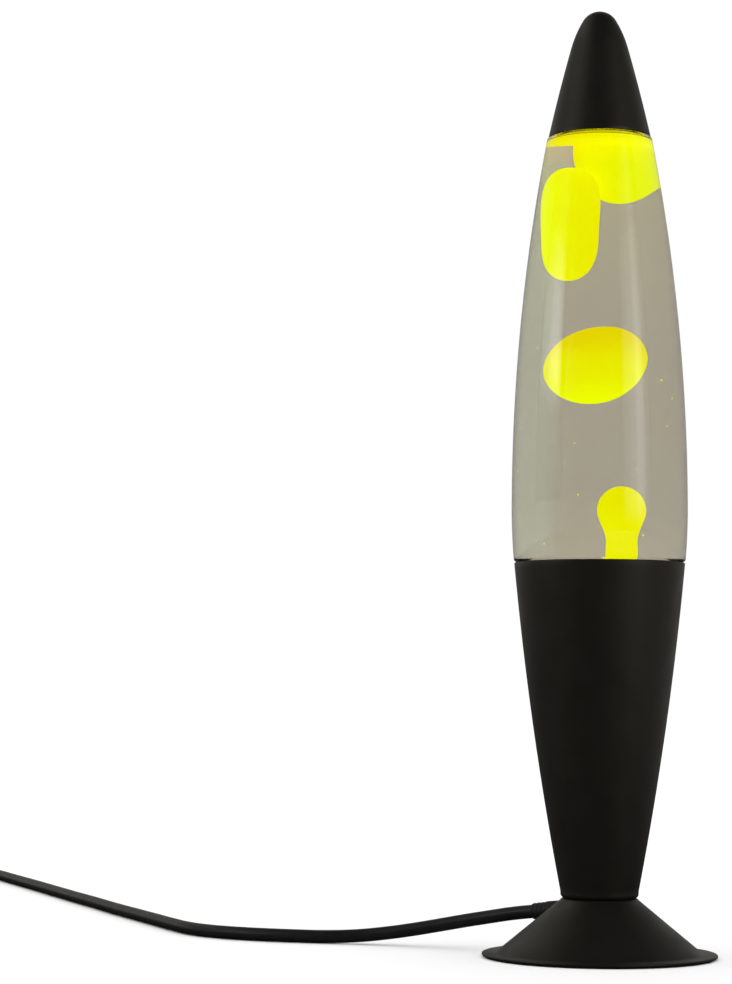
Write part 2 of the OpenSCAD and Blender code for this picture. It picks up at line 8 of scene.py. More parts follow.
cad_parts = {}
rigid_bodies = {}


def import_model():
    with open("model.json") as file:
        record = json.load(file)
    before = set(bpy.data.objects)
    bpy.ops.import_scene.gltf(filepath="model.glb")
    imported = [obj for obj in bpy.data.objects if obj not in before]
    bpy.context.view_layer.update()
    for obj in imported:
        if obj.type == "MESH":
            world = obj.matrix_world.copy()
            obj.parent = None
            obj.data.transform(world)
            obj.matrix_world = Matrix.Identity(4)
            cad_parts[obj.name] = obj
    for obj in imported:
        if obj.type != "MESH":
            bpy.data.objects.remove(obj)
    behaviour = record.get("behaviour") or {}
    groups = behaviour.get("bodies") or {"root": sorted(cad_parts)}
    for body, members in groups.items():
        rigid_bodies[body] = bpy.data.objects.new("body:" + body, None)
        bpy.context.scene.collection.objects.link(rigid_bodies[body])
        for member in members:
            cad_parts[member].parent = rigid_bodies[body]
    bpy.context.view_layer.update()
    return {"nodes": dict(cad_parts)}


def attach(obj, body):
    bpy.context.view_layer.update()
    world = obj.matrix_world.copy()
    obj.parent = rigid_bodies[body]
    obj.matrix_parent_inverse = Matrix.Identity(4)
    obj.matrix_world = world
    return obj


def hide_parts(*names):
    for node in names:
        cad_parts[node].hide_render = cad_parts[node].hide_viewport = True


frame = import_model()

# A lava lamp on a pale table. Lengths are in millimetres until new_object() scales them to metres.
MM = 0.001

# ---------------------------------------------------------------- camera

CAMERA_AWAY, CAMERA_HIGH = 1.2131, 0.11775
CAMERA_LEFT, CAMERA_UP, CAMERA_ROLL = 4.895, 4.069, 0.353

camera_data = bpy.data.cameras.new("camera")
camera_data.lens = 100
camera_data.sensor_width = 36
camera = bpy.data.objects.new("camera", camera_data)
bpy.context.scene.collection.objects.link(camera)
bpy.context.scene.camera = camera
turned_left = Matrix.Rotation(math.radians(CAMERA_LEFT), 4, "Z")
looking_up = Matrix.Rotation(math.radians(90 + CAMERA_UP), 4, "X")
rolled = Matrix.Rotation(math.radians(CAMERA_ROLL), 4, "Z")
stood = Matrix.Translation((0, -CAMERA_AWAY, CAMERA_HIGH))
camera.matrix_world = stood @ turned_left @ looking_up @ rolled


# ---------------------------------------------------------------- outlines

def polar(radius, degrees):
    """A point at an angle from the first axis towards the second."""
    angle = math.radians(degrees)
    return Vector((radius * math.cos(angle), radius * math.sin(angle)))


def points(*pairs):
    return [Vector(pair) for pair in pairs]


def arc(centre, radius, start, end, steps):
    """Points of an arc, from one angle to another in degrees."""
    return [Vector(centre) + polar(radius, start + (end - start) * i / steps) for i in range(steps + 1)]


def bulged(start, end, bulge, steps):
    """Points from start up to end along an arc that bulges outwards."""
    start, end = Vector(start), Vector(end)
    way = end - start
    radius = (way.length_squared / 4 + bulge * bulge) / (2 * bulge)
    centre = (start + end) / 2 + Vector((way.y, -way.x)).normalized() * (bulge - radius)
    first = math.degrees(math.atan2(*(start - centre).yx))
    last = math.degrees(math.atan2(*(end - centre).yx))
    return arc(centre, radius, first, last, steps)


def lean(start, radius, first, last, steps):
    """Points along an arc that leans inwards from one angle off the vertical to another."""
    return [Vector(start) + polar(radius, first + (last - first) * i / steps) - polar(radius, first)
            for i in range(steps + 1)]


def inward(outline, by):
    """The outline moved towards the axis."""
    return [Vector((max(p.x - by, 0), p.y)) for p in outline]


def step(value, low, high):
    """0 below low, 1 above high and a smooth rise between them."""
    t = min(max((value - low) / (high - low), 0), 1)
    return t * t * (3 - 2 * t)


# ---------------------------------------------------------------- meshes

def link(made):
    bpy.context.scene.collection.objects.link(made)
    return made


def new_object(name, shape, sharp=35):
    """An object from a bmesh in millimetres, smooth apart from edges sharper than an angle."""
    bmesh.ops.recalc_face_normals(shape, faces=shape.faces)
    for face in shape.faces:
        face.smooth = True
    for edge in shape.edges:
        if len(edge.link_faces) == 2:
            edge.smooth = edge.calc_face_angle() < math.radians(sharp)
    bmesh.ops.scale(shape, vec=(MM, MM, MM), verts=shape.verts)
    mesh = bpy.data.meshes.new(name)
    shape.to_mesh(mesh)
    shape.free()
    return link(bpy.data.objects.new(name, mesh))


def add_lathe(shape, outline, steps, closed=True, place=Matrix.Identity(4)):
    """Turns an outline of (radius, height) points round the Z axis, then puts the result in place."""
    rings = []
    for radius, height in outline:
        if radius < 1e-6:
            rings.append([shape.verts.new(place @ Vector((0, 0, height)))])
            continue
        around = [polar(radius, 360 * i / steps) for i in range(steps)]
        rings.append([shape.verts.new(place @ Vector((p.x, p.y, height))) for p in around])
    pairs = list(zip(rings, rings[1:]))
    if closed:
        pairs.append((rings[-1], rings[0]))
    for low, high in pairs:
        if len(low) == 1 and len(high) == 1:
            continue
        for i in range(steps):
            j = (i + 1) % steps
            corners = [low[i % len(low)], low[j % len(low)], high[j % len(high)], high[i % len(high)]]
            # A ring that is one point on the axis gives its corner twice
            shape.faces.new(list(dict.fromkeys(corners)))


def lathe(name, outline, steps, closed=True):
    """An object turned round the Z axis; closed joins the outline's last point to its first."""
    shape = bmesh.new()
    add_lathe(shape, outline, steps, closed)
    return new_object(name, shape)


def smooth_curve(name, route, diameter):
    """A round curve through points in millimetres."""
    data = bpy.data.curves.new(name, "CURVE")
    data.dimensions = "3D"
    data.bevel_depth = 1
    data.bevel_resolution = 6
    data.resolution_u = 10
    data.use_fill_caps = True
    spline = data.splines.new("BEZIER")
    spline.bezier_points.add(len(route) - 1)
    for knot, place in zip(spline.bezier_points, route):
        knot.co = Vector(place) * MM
        knot.radius = diameter / 2 * MM
        knot.handle_left_type = "AUTO"
        knot.handle_right_type = "AUTO"
    return link(bpy.data.objects.new(name, data))


def settle(made):
    """Applies an object's modifiers."""
    bpy.context.view_layer.update()
    evaluated = made.evaluated_get(bpy.context.evaluated_depsgraph_get())
    mesh = bpy.data.meshes.new_from_object(evaluated)
    made.modifiers.clear()
    made.data = mesh


def combine(made, other, operation):
    """Cuts another object out of the first or joins it on, and deletes the other."""
    modifier = made.modifiers.new("combine", "BOOLEAN")
    modifier.operation = operation
    modifier.object = other
    modifier.solver = "EXACT"
    settle(made)
    bpy.data.objects.remove(other)


# ---------------------------------------------------------------- the mains lead

FLEX_D = 6.0
# Height of the flex's middle where it lies on the table
LEAD_Z = 3.1
# Direction in which the lead leaves the foot: round from +X, and down
EXIT_TURN = math.radians(150)
EXIT_DIP = math.radians(6)
LEAD_ROUTE = [
    (-40, 22.5, 16.6), (-48, 26.5, 15), (-60, 31.5, 12.6), (-72, 35.5, 10.1), (-84, 39, 7.7),
    (-97, 42.5, 5.5), (-111, 45.5, 3.8), (-126, 47, LEAD_Z), (-140, 49, LEAD_Z), (-155, 53, LEAD_Z),
    (-169, 59, LEAD_Z), (-181, 67, LEAD_Z), (-192, 79, LEAD_Z), (-203, 98, LEAD_Z),
    (-216, 124, LEAD_Z), (-231, 154, LEAD_Z), (-248, 188, LEAD_Z), (-265, 224, LEAD_Z),
    (-284, 263, LEAD_Z), (-304, 305, LEAD_Z), (-325, 349, LEAD_Z), (-346, 392, LEAD_Z),
    (-362, 425, LEAD_Z), (-376, 450, LEAD_Z), (-396, 468, LEAD_Z), (-420, 471, LEAD_Z),
    (-441, 459, LEAD_Z), (-451, 440, 4.6),
]
# The middle of the switch and the height of its parting line
SWITCH_X, SWITCH_Y, SWITCH_HALF = -452, 387, 7.5
COIL_R, COIL_X, COIL_Y, COIL_TURNS = 33, -419, 305, 3
# The plug's face, its half thickness, and the length from its face to the end of its sleeve
PLUG_Y, PLUG_HALF, PLUG_BACK = 228, 6.85, 44
# Where the lead crosses the foot's cone
EXIT_R, EXIT_Z = 24, 19.3


def exit_point(outside):
    """A point on the strain relief's axis, a distance outside the foot's cone."""
    radius = EXIT_R + outside * math.cos(EXIT_DIP)
    height = EXIT_Z - outside * math.sin(EXIT_DIP)
    return (radius * math.cos(EXIT_TURN), radius * math.sin(EXIT_TURN), height)


def coil_point(turn):
    """A point of the stored coil after so many turns: two turns on the table, the third on top."""
    half = FLEX_D / 2
    radius = COIL_R + half - FLEX_D * step(turn, 0.83, 1) + half * step(turn, 1.85, 2.05)
    height = LEAD_Z + 5.8 * step(turn, 1.75, 1.97) - 0.6 * step(turn, 1.97, 2.1)
    place = polar(radius, 180 + 360 * turn)
    return (COIL_X + place.x, COIL_Y + place.y, height)


def make_lead():
    through_switch = [(SWITCH_X, SWITCH_Y + y, SWITCH_HALF) for y in (33, 12, -12, -33)]
    to_coil = [(SWITCH_X, SWITCH_Y - 45, 5.5), (SWITCH_X - 2.6, COIL_Y + 20, LEAD_Z + 0.6)]
    turns = [coil_point(i / 16) for i in range(16 * COIL_TURNS + 1)]
    sleeve = PLUG_Y + PLUG_BACK
    tail = [(SWITCH_X, COIL_Y - 14, LEAD_Z + 6.1), (SWITCH_X, COIL_Y - 21, LEAD_Z + 5.3),
            (SWITCH_X, sleeve, PLUG_HALF), (SWITCH_X, sleeve - 14, PLUG_HALF)]
    route = [exit_point(-11), exit_point(-2), exit_point(9.5)] + LEAD_ROUTE
    lead = smooth_curve("mains_lead", route + through_switch + to_coil + turns + tail, FLEX_D)
    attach(lead, "base")
    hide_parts("flex_run", "flex_lead", "flex_coil", "flex_tail")
    return lead


lead = make_lead()


# ---------------------------------------------------------------- materials

class Material:
    """A node material with a Principled shader and textures in the object's own coordinates."""

    def __init__(self, name, colour, roughness, **sockets):
        self.data = bpy.data.materials.new(name)
        self.data.use_nodes = True
        self.shader = self.data.node_tree.nodes["Principled BSDF"]
        self.shader.inputs["Base Color"].default_value = (*colour, 1)
        self.shader.inputs["Roughness"].default_value = roughness
        for socket, value in sockets.items():
            title = socket.replace("_", " ").title().replace("Ior", "IOR")
            self.shader.inputs[title].default_value = value
        self.place = self.add("ShaderNodeTexCoord").outputs["Object"]

    def add(self, kind, inputs=None, **settings):
        made = self.data.node_tree.nodes.new(kind)
        for key, value in settings.items():
            setattr(made, key, value)
        for key, value in (inputs or {}).items():
            if isinstance(value, bpy.types.NodeSocket):
                self.data.node_tree.links.new(value, made.inputs[key])
            else:
                made.inputs[key].default_value = value
        return made

    def to(self, output, socket):
        self.data.node_tree.links.new(output, self.shader.inputs[socket])

    def noise(self, size, detail=3):
        """A noise from 0 to 1 whose lumps are about so many millimetres wide."""
        settings = {"Vector": self.place, "Scale": 1 / (size * MM), "Detail": detail}
        return self.add("ShaderNodeTexNoise", settings).outputs["Fac"]

    def along(self, axis):
        """The coordinate along an axis, in metres."""
        return self.add("ShaderNodeSeparateXYZ", {"Vector": self.place}).outputs[axis]

    def spread(self, value, low, high, start=0.3, end=0.7):
        """A value from start to end, mapped to low to high."""
        return self.add("ShaderNodeMapRange", {"Value": value, "From Min": start, "From Max": end,
                                               "To Min": low, "To Max": high}).outputs["Result"]

    def blend(self, value, stops):
        """A colour from a value by stops of (position, colour)."""
        ramp = self.add("ShaderNodeValToRGB", {"Fac": value})
        ramp.color_ramp.interpolation = "EASE"
        while len(ramp.color_ramp.elements) < len(stops):
            ramp.color_ramp.elements.new(0.5)
        for element, (position, colour) in zip(ramp.color_ramp.elements, stops):
            element.position = position
            element.color = (*colour, 1)
        return ramp.outputs["Color"]

    def bumped(self, height, depth):
        """Bumps of a depth in millimetres."""
        return self.add("ShaderNodeBump", {"Height": height, "Distance": depth * MM}).outputs["Normal"]


def arithmetic(add, operation, first, second):
    return add("ShaderNodeMath", {0: first, 1: second}, operation=operation).outputs["Value"]


def reflected(add):
    """1 for a ray that has just been reflected, by gloss and not through glass."""
    rays = add("ShaderNodeLightPath").outputs
    outside = arithmetic(add, "SUBTRACT", 1.0, rays["Is Transmission Ray"])
    return arithmetic(add, "MULTIPLY", rays["Is Glossy Ray"], outside)


def solid(name, colour, roughness, tone=0.2, mottle=30, grain=1, depth=0.02, **sockets):
    """A finish whose colour varies by the share "tone" in patches "mottle" wide, and whose gloss varies a
    little, with bumps "grain" wide and "depth" deep."""
    made = Material(name, colour, roughness, **sockets)
    mottling = made.noise(mottle)
    dark = [c * (1 - tone) for c in colour]
    light = [min(c * (1 + tone), 1) for c in colour]
    made.to(made.blend(mottling, [(0.3, dark), (0.7, light)]), "Base Color")
    made.to(made.spread(made.noise(mottle / 4), roughness - 0.06, roughness + 0.06), "Roughness")
    made.to(made.bumped(made.noise(grain), depth), "Normal")
    return made.data


# Painted light on the wax's glow: lemon yellow where it is lit, then warmer and darker where shade is
# painted
WAX_LIT_TO_SHADED_GLOW = [(0.0, (0.82, 1.0, 0.0)), (0.5, (0.784, 0.84, 0.0)), (1.0, (0.735, 0.64, 0.0))]


def wax_with_painted_glow(name, bright, shaded, along="Z", strength=1.66):
    """Wax whose glow is painted light, an emission that stands in for the bulb's light shining through it:
    lemon yellow at the place "bright" along an axis, in millimetres, and warmer and darker, a painted
    shade, at the second place given. It has no gloss, because it refracts light as the liquid round it
    does."""
    made = Material(name, (0.25, 0.22, 0.0), 0.5, specular_ior_level=0.0)
    # Painted shade: the glow is brightest at the lit place and darker towards the other, as the bulb's
    # light falls on the wax
    fade = made.spread(made.along(along), 0, 1, bright * MM, shaded * MM)
    clouds = made.spread(made.noise(14), -0.06, 0.06)
    made.to(made.blend(arithmetic(made.add, "ADD", fade, clouds), WAX_LIT_TO_SHADED_GLOW), "Emission Color")
    made.to(made.bumped(made.noise(6), 0.1), "Normal")
    made.shader.inputs["Emission Strength"].default_value = strength
    return made.data


# The wave texture's bands lie pi / 10 apart at a scale of 1
BAND_GAP = 0.314


def threaded(name, colour, roughness, pitch, depth):
    """Bright metal with rings of thread along Z."""
    made = Material(name, colour, roughness, metallic=1.0)
    scale = BAND_GAP / (pitch * MM)
    wave = made.add("ShaderNodeTexWave", {"Vector": made.place, "Scale": scale, "Distortion": 0.0},
                    wave_type="BANDS", bands_direction="Z")
    made.to(made.bumped(wave.outputs["Fac"], depth), "Normal")
    made.to(made.spread(made.noise(3), roughness - 0.08, roughness + 0.1), "Roughness")
    return made.data


def metal(name, colour, roughness, grain=0.6):
    """Bright metal with fine marks."""
    made = Material(name, colour, roughness, metallic=1.0)
    marks = made.noise(grain)
    dull = [c * 0.8 for c in colour]
    made.to(made.blend(made.noise(8), [(0.3, dull), (0.7, colour)]), "Base Color")
    made.to(made.spread(marks, roughness - 0.08, roughness + 0.12), "Roughness")
    made.to(made.bumped(marks, 0.01), "Normal")
    return made.data


def clear_glass(name, **sockets):
    """Clear glass with faint waves in its surface."""
    made = Material(name, (0.98, 0.985, 0.98), 0.0, ior=1.5, transmission_weight=1.0, **sockets)
    made.to(made.bumped(made.noise(60, detail=1), 0.02), "Normal")
    return made.data


PAINT = solid("black_satin_paint", (0.0038, 0.0033, 0.0026), 0.42, tone=0.12, mottle=45, grain=0.9,
              depth=0.012, specular_ior_level=0.6, specular_tint=(1, 0.93, 0.78, 1))
FOAM = solid("black_foam", (0.012, 0.012, 0.012), 0.85, grain=0.7, depth=0.3, mottle=6,
             specular_ior_level=0.2)
PLASTIC = solid("black_moulded_plastic", (0.007, 0.007, 0.0075), 0.48, grain=0.5, depth=0.03, mottle=15,
                specular_ior_level=0.35)
GLOSSY_PLASTIC = solid("black_gloss_plastic", (0.006, 0.006, 0.006), 0.2, grain=3, depth=0.01, mottle=12,
                       specular_ior_level=0.45)
BAKELITE = solid("brown_phenolic", (0.02, 0.012, 0.009), 0.25, tone=0.5, mottle=4, grain=1.5, depth=0.015)
PVC = solid("black_flex_sheath", (0.0055, 0.0055, 0.0058), 0.38, grain=0.35, depth=0.02, mottle=9,
            specular_ior_level=0.4)
BROWN_CORE = solid("brown_core", (0.12, 0.04, 0.015), 0.4, mottle=5, grain=0.4, depth=0.01)
BLUE_CORE = solid("blue_core", (0.03, 0.09, 0.35), 0.4, mottle=5, grain=0.4, depth=0.01)
LINER = solid("pale_liner", (0.75, 0.74, 0.68), 0.6, tone=0.08, mottle=4, grain=0.5, depth=0.03)
TIE = solid("black_tie_strap", (0.01, 0.01, 0.01), 0.5, mottle=6, grain=0.4, depth=0.04)
ZINC = metal("zinc_plated_steel", (0.62, 0.62, 0.6), 0.3)
BRASS = metal("plain_brass", (0.72, 0.52, 0.22), 0.25, grain=0.8)
THREADED_BRASS = threaded("threaded_brass", (0.72, 0.52, 0.22), 0.25, 1.0, 0.25)
NICKEL = metal("nickel_plate", (0.7, 0.67, 0.62), 0.16, grain=0.5)
TINPLATE = solid("lacquered_tinplate", (0.62, 0.57, 0.42), 0.22, tone=0.1, mottle=7, grain=0.7, depth=0.01,
                 metallic=1.0)
TUNGSTEN = metal("tungsten_wire", (0.35, 0.35, 0.37), 0.35)
BLACK_GLASS = solid("black_insulating_glass", (0.01, 0.01, 0.013), 0.12, mottle=2, grain=1.5, depth=0.02)
GLASS = clear_glass("clear_glass")
# Where liquid wets the glass, the two refract almost alike, so their common surface reflects nothing
NO_GLOSS = (0, 0, 0, 1)
WET_GLASS = clear_glass("wet_glass", specular_tint=NO_GLOSS)


# Heights on the bulb in metres, as its material's coordinates are
SILVER_TOP, FROSTED_LOW = 0.0972, 0.0978


def reflector_glass():
    """Bulb glass: silvered up to the edge of its dome, and frosted above."""
    made = Material("reflector_bulb_glass", (0.92, 0.92, 0.9), 0.1, ior=1.5)
    height = made.along("Z")
    made.to(made.spread(height, 1, 0, SILVER_TOP, FROSTED_LOW), "Metallic")
    made.to(made.spread(height, 0, 1, SILVER_TOP, FROSTED_LOW), "Transmission Weight")
    made.to(made.spread(made.noise(5), 0.08, 0.2), "Roughness")
    made.to(made.bumped(made.noise(9), 0.05), "Normal")
    return made.data


BULB_GLASS = reflector_glass()


# The liquid's grey-brown tint up its height, with painted light from the wax: lighter and warmer at the
# bottom and the top
LIQUID_TINT_AND_PAINTED_GLOW = [
    (0, (0.44, 0.4, 0.31)), (0.25, (0.395, 0.36, 0.28)), (0.5, (0.395, 0.358, 0.28)),
    (0.8, (0.42, 0.378, 0.275)), (0.92, (0.445, 0.4, 0.27)), (1, (0.545, 0.42, 0.26)),
]


def tinted_liquid_with_painted_glow():
    """A grey-brown tint with painted light from the wax: lighter and warmer near the glowing wax at the
    bottom and the top.
    """
    made = Material("tinted_liquid_with_painted_glow", (0.38, 0.345, 0.275), 0.0, ior=1.36, transmission_weight=1.0,
                    specular_tint=NO_GLOSS)
    rise = made.spread(made.along("Z"), 0, 1, 160 * MM, 360 * MM)
    made.to(made.blend(rise, LIQUID_TINT_AND_PAINTED_GLOW), "Base Color")
    made.to(made.bumped(made.noise(40, detail=1), 0.01), "Normal")
    return made.data


LIQUID = tinted_liquid_with_painted_glow()


def dress(piece, material):
    """Gives an object one material."""
    piece.data.materials.clear()
    piece.data.materials.append(material)


def stand_for(piece, body, nodes, material):
    """A piece that rides on a body in place of CAD nodes."""
    dress(piece, material)
    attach(piece, body)
    if nodes:
        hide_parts(*nodes)


dress(lead, PVC)
for node, material in {
    "foot_pad": FOAM, "bottom_cover": PLASTIC, "cover_screws": ZINC, "nipple": THREADED_BRASS,
    "nipple_nut": BRASS, "nipple_washers": ZINC, "lampholder_cap": BAKELITE, "lampholder_body": BAKELITE,
    "lampholder_shell": BRASS, "lampholder_contact": BRASS, "terminal_screws": ZINC,
    "strain_relief": PLASTIC, "live_wire": BROWN_CORE, "neutral_wire": BLUE_CORE,
    "bulb_envelope": BULB_GLASS, "bulb_screw_cap": NICKEL, "bulb_insulator": BLACK_GLASS,
    "bulb_contact": NICKEL, "bulb_filament": TUNGSTEN, "crown_cap": TINPLATE, "crown_liner": LINER,
    "heating_coil": ZINC, "cap_grip": FOAM, "coil_tie": TIE, "switch_screws": ZINC, "plug_pins": NICKEL,
}.items():
    dress(frame["nodes"][node], material)


# ---------------------------------------------------------------- foot, body and nose cap

# Thickness of the metal
SHEET = 1.2
FOOT_TOP = 25.8
BRIM_R = 51.6
BRIM_LOW = 0.7
BRIM_TOP = BRIM_LOW + SHEET
CONE_R, CONE_LOW, CONE_SLOPE = 43.9, 3.1, 1.215
CONE_SHEET = SHEET * math.hypot(1, CONE_SLOPE)
BODY_TOP = 173
BODY_BOTTOM_R, BODY_TOP_R, BODY_CORNER = 17.15, 37.65, 2
NIPPLE_R = 5.1
LEAD_HOLE_R = 4.1


def foot_r(z):
    """Radius of the foot's cone at a height."""
    return CONE_R - CONE_SLOPE * (z - CONE_LOW)


def make_foot():
    shoulder = FOOT_TOP - 0.75
    top = FOOT_TOP - SHEET
    edge_r = BRIM_R - SHEET / 2
    outline = points((NIPPLE_R, top), (NIPPLE_R, FOOT_TOP))
    shoulder_r = foot_r(shoulder)
    outline += points((shoulder_r - 1.3, FOOT_TOP), (shoulder_r - 0.75, FOOT_TOP - 0.1),
                      (shoulder_r - 0.3, FOOT_TOP - 0.35), (shoulder_r, shoulder))
    outline += points((CONE_R, CONE_LOW), (CONE_R + 0.45, CONE_LOW - 0.45), (CONE_R + 1, BRIM_TOP + 0.22),
                      (CONE_R + 1.8, BRIM_TOP))
    outline += arc((edge_r, BRIM_LOW + SHEET / 2), SHEET / 2, 90, -90, 10)
    outline += points((CONE_R - 0.2, BRIM_LOW), (CONE_R - CONE_SHEET + 0.1, CONE_LOW),
                      (foot_r(top) - CONE_SHEET, top))
    foot = lathe("foot_pressing", outline, 192)
    hole = bmesh.new()
    dipped = Matrix.Rotation(math.radians(90) + EXIT_DIP, 4, "Y")
    axis = Matrix.Translation(exit_point(0)) @ Matrix.Rotation(EXIT_TURN, 4, "Z") @ dipped
    add_lathe(hole, points((0, -12), (LEAD_HOLE_R, -12), (LEAD_HOLE_R, 12), (0, 12)), 48, False, axis)
    combine(foot, new_object("drill", hole), "DIFFERENCE")
    stand_for(foot, "base", ["foot"], PAINT)


def make_base_shell():
    centre = (BODY_BOTTOM_R - BODY_CORNER, FOOT_TOP + BODY_CORNER)
    side = bulged((BODY_BOTTOM_R, centre[1] + 1), (BODY_TOP_R, BODY_TOP - SHEET / 2), 1.75, 60)
    rim = arc((BODY_TOP_R - SHEET / 2, BODY_TOP - SHEET / 2), SHEET / 2, 12, 168, 10)
    outline = points((NIPPLE_R, FOOT_TOP)) + arc(centre, BODY_CORNER, -90, 0, 12) + side + rim
    outline += list(reversed(inward(side, SHEET))) + arc(centre, BODY_CORNER - SHEET, 0, -90, 8)
    outline += points((NIPPLE_R, FOOT_TOP + SHEET))
    stand_for(lathe("body_spinning", outline, 192), "base", ["base_shell"], PAINT)


CAP_RIM_R, CAP_RIM, CAP_WALL = 22.8, 363.2, 1
# Angles off the vertical, in degrees: at the cap's rim, halfway up and where the tip's sphere begins
CAP_LEAN, BROW_LEAN, TIP_LEAN = 12.5, 15.5, 31


def make_nose_cap():
    flank = lean((CAP_RIM_R, CAP_RIM), 800, CAP_LEAN, BROW_LEAN, 30)
    brow = lean(flank[-1], 50, BROW_LEAN, TIP_LEAN, 20)
    tip_r = brow[-1].x / math.cos(math.radians(TIP_LEAN))
    tip = (0, brow[-1].y - tip_r * math.sin(math.radians(TIP_LEAN)))
    rim = points((CAP_RIM_R - 0.3, CAP_RIM - 0.3), (CAP_RIM_R - 0.08, CAP_RIM - 0.22))
    outside = rim + flank + brow[1:] + arc(tip, tip_r, TIP_LEAN + 3, 90, 22)
    inside = arc(tip, tip_r - CAP_WALL, 90, TIP_LEAN + 5, 14)
    inside += list(reversed(inward(flank + brow, CAP_WALL)))
    outline = outside + inside + points((CAP_RIM_R - CAP_WALL + 0.25, CAP_RIM - 0.3))
    cap = lathe("cap_spinning", outline, 192, False)
    stand_for(cap, "cap", ["nose_cap"], PAINT)


make_foot()
make_base_shell()
make_nose_cap()

# ---------------------------------------------------------------- globe

# The side is an arc of radius SIDE_R, widest at WIDE_Z
GLASS_R, SIDE_R, GLASS_WALL = 38.9, 890, 2.2
VESSEL_LOW, WIDE_Z, SHOULDER_Z, ROOF_Z, FILL_Z = 132, 197, 362.15, 360, 366
STEP_Z, BELLY_Z = 170.5, 175
CEILING_Z = 359.2
NECK_R, MOUTH_R, FINISH_LOW, MOUTH_Z = 12.4, 9, 375, 381
GLASS_STEPS = 256


def glass_side(top):
    """The bottle's side from its widest place up to a height."""
    last = math.degrees(math.asin((top - WIDE_Z) / SIDE_R))
    return arc((GLASS_R - SIDE_R, WIDE_Z), SIDE_R, 0, last, 60)


def inner_outline(grow, top):
    """The space inside the glass up to a height, larger by grow; it ends on the axis at both ends."""
    side = inward(glass_side(ROOF_Z), GLASS_WALL - grow)
    low = points((0, VESSEL_LOW + 4.4 - grow), (24, VESSEL_LOW + 4.2 - grow))
    heel = arc((26, VESSEL_LOW + 8.2), 4 + grow, -80, -6, 8)
    belly = bulged((33.2 + grow, STEP_Z), (GLASS_R - GLASS_WALL + grow, WIDE_Z), 0.75, 14)
    roof = arc((side[-1].x - grow - 1.2, ROOF_Z), 1.2 + grow, 12, 80, 6)
    roof += points((18.6, 361.5 + grow), (16, 362.5 + grow), (13.2, 364.2 + grow), (10 + grow, 366.3))
    outline = low + heel + belly[:-1] + side + roof
    kept = [p for p in outline if p.y < top - 0.5]
    return kept + points((kept[-1].x, top), (0, top))


def make_glass():
    low = points((0, VESSEL_LOW + 1.6), (22, VESSEL_LOW + 1.2), (25, VESSEL_LOW + 0.3),
                 (27.2, VESSEL_LOW))
    heel = arc((28.2, VESSEL_LOW + 4), 4, -75, -6, 8)
    ledge = points((35.35, STEP_Z), (35.36, STEP_Z + 1.7), (35.46, STEP_Z + 1.92), (37.5, BELLY_Z - 1.32),
                   (37.72, BELLY_Z - 1.15), (37.88, BELLY_Z - 0.8))
    belly = bulged((37.98, BELLY_Z), (GLASS_R, WIDE_Z), 0.22, 12)
    side = glass_side(SHOULDER_Z)
    top = arc((side[-1].x - 0.4, SHOULDER_Z), 0.4, 12, 84, 6)
    top += points((19.5, 363.1), (17, 364.1), (15, 365.6)) + arc((NECK_R + 2, 368.2), 2, -110, -180, 6)
    top += points((NECK_R, FINISH_LOW - 0.6), (13.2, FINISH_LOW), (13.4, FINISH_LOW + 0.4),
                  (13.4, MOUTH_Z - 1.2), (13.2, MOUTH_Z - 0.5), (12.6, MOUTH_Z), (MOUTH_R, MOUTH_Z),
                  (MOUTH_R, 368.5))
    inside = inner_outline(0, FILL_Z)[:-2]
    outside = low + heel + ledge + belly[:-1] + side + top
    bottle = lathe("glass_bottle", outside + list(reversed(inside)), GLASS_STEPS, False)
    stand_for(bottle, "globe", ["glass_vessel"], GLASS)
    bottle.data.materials.append(WET_GLASS)
    for face in bottle.data.polygons[len(outside) * GLASS_STEPS:]:
        face.material_index = 1


def make_liquid():
    body = lathe("liquid_filling", inner_outline(0.1, FILL_Z), GLASS_STEPS, False)
    stand_for(body, "globe", ["liquid"], LIQUID)


make_glass()
make_liquid()

# ---------------------------------------------------------------- wax

WAX_STEPS = 96


def egg(radius, half, fuller, blunt, steps=60):
    """Outline of a smooth egg on the Z axis, wider at the top by "fuller". A "blunt" of 2 gives an
    ellipsoid, and a larger one gives blunter ends."""
    outline = points((0, -half))
    for i in range(1, steps):
        t = -math.cos(math.pi * i / steps)
        wide = radius * (1 + fuller * t) * math.sqrt(1 - abs(t) ** blunt)
        outline.append(Vector((wide, half * t)))
    return outline + points((0, half))


def oval(across, up, middle, first, last, step_angle):
    """Points of an upright ellipse round a height, between two angles in degrees."""
    count = round((last - first) / step_angle)
    angles = [math.radians(first + step_angle * i) for i in range(count + 1)]
    return [Vector((across * math.cos(a), middle + up * math.sin(a))) for a in angles]


def wobble(shape, amount, size, seed):
    """Moves the surface in and out in soft waves so many millimetres long."""
    shape.normal_update()
    for vertex in shape.verts:
        vertex.co += vertex.normal * amount * noise.noise(vertex.co / size + Vector((seed, 0, 0)))


def fused(name, parts):
    """One smooth body from overlapping closed outlines, each turned round its own axis."""
    shape = bmesh.new()
    for outline, place in parts:
        add_lathe(shape, outline, WAX_STEPS, False, place)
    made = new_object(name, shape)
    remesh = made.modifiers.new("join", "REMESH")
    remesh.mode = "VOXEL"
    remesh.voxel_size = 0.7 * MM
    remesh.use_smooth_shade = True
    smooth = made.modifiers.new("soften", "SMOOTH")
    smooth.iterations = 14
    settle(made)
    return made


def wall_radius(z):
    """Radius of the inside of the glass at a height, in millimetres."""
    side = [p for p in inner_outline(0, FILL_Z) if p.y > VESSEL_LOW + 10]
    for low, high in zip(side, side[1:]):
        if low.y <= z <= high.y:
            return low.x + (high.x - low.x) * (z - low.y) / max(high.y - low.y, 1e-6)
    return side[-1].x


def keep_inside(made):
    """Pulls in whatever would stick into the glass."""
    for vertex in made.data.vertices:
        room = (wall_radius(vertex.co.z / MM) - 0.15) * MM
        reach = math.hypot(vertex.co.x, vertex.co.y)
        if reach > room:
            vertex.co.x *= room / reach
            vertex.co.y *= room / reach


